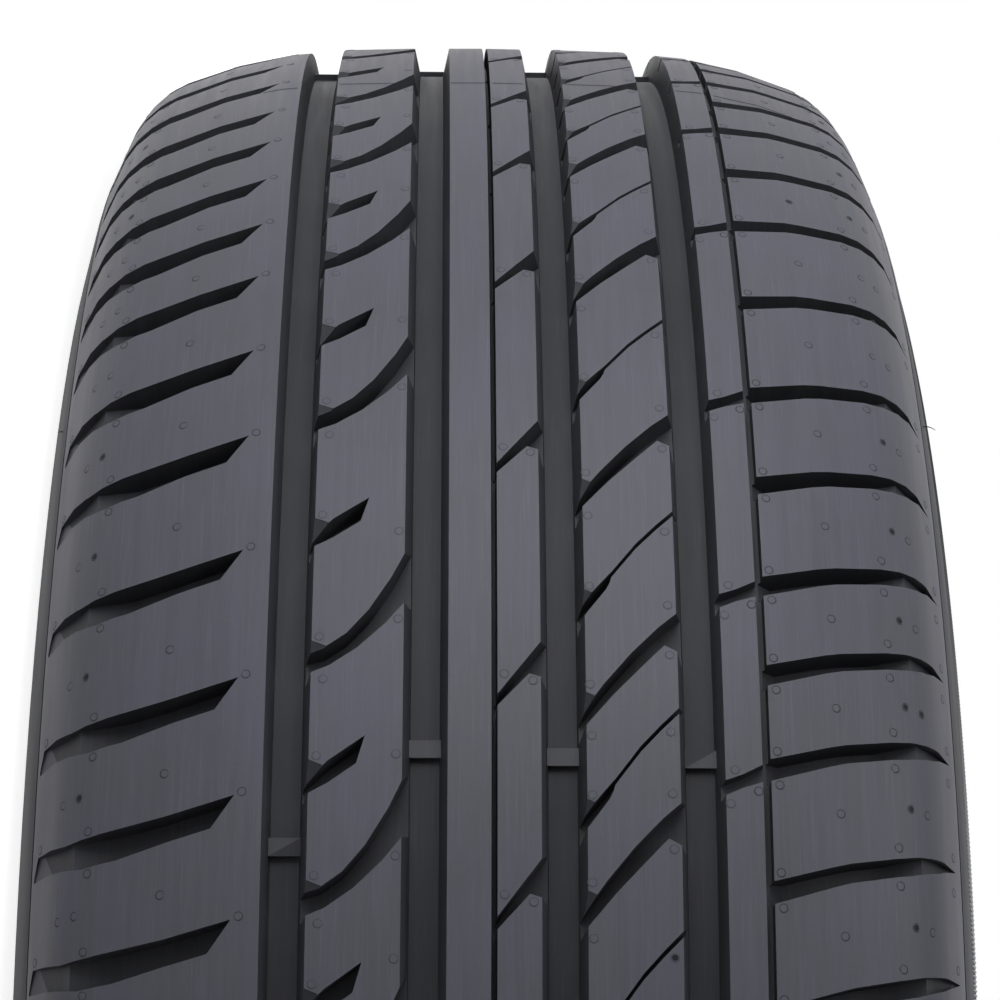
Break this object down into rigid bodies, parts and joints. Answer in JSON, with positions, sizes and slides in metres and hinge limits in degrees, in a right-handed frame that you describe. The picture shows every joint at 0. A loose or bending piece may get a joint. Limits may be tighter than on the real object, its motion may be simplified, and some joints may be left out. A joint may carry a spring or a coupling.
{
  "type": "car tyre",
  "caption": "Passenger car tyre with an asymmetric ribbed road tread, hollow and open towards the rim between its beads.",
  "frame": {"origin": "centre of the tyre, on the wheel axis and midway between the sidewalls", "axes": "+Z along the wheel axis; the tyre lies on its sidewall at -Z, and -Y and -X span the stretch of tread that the picture shows"},
  "size_m": [0.6318, 0.6318, 0.214],
  "materials": {
    "rubber": "satin"
  },
  "bodies": {
    "root": {"tyre": "rubber"}
  },
  "joints": []
}
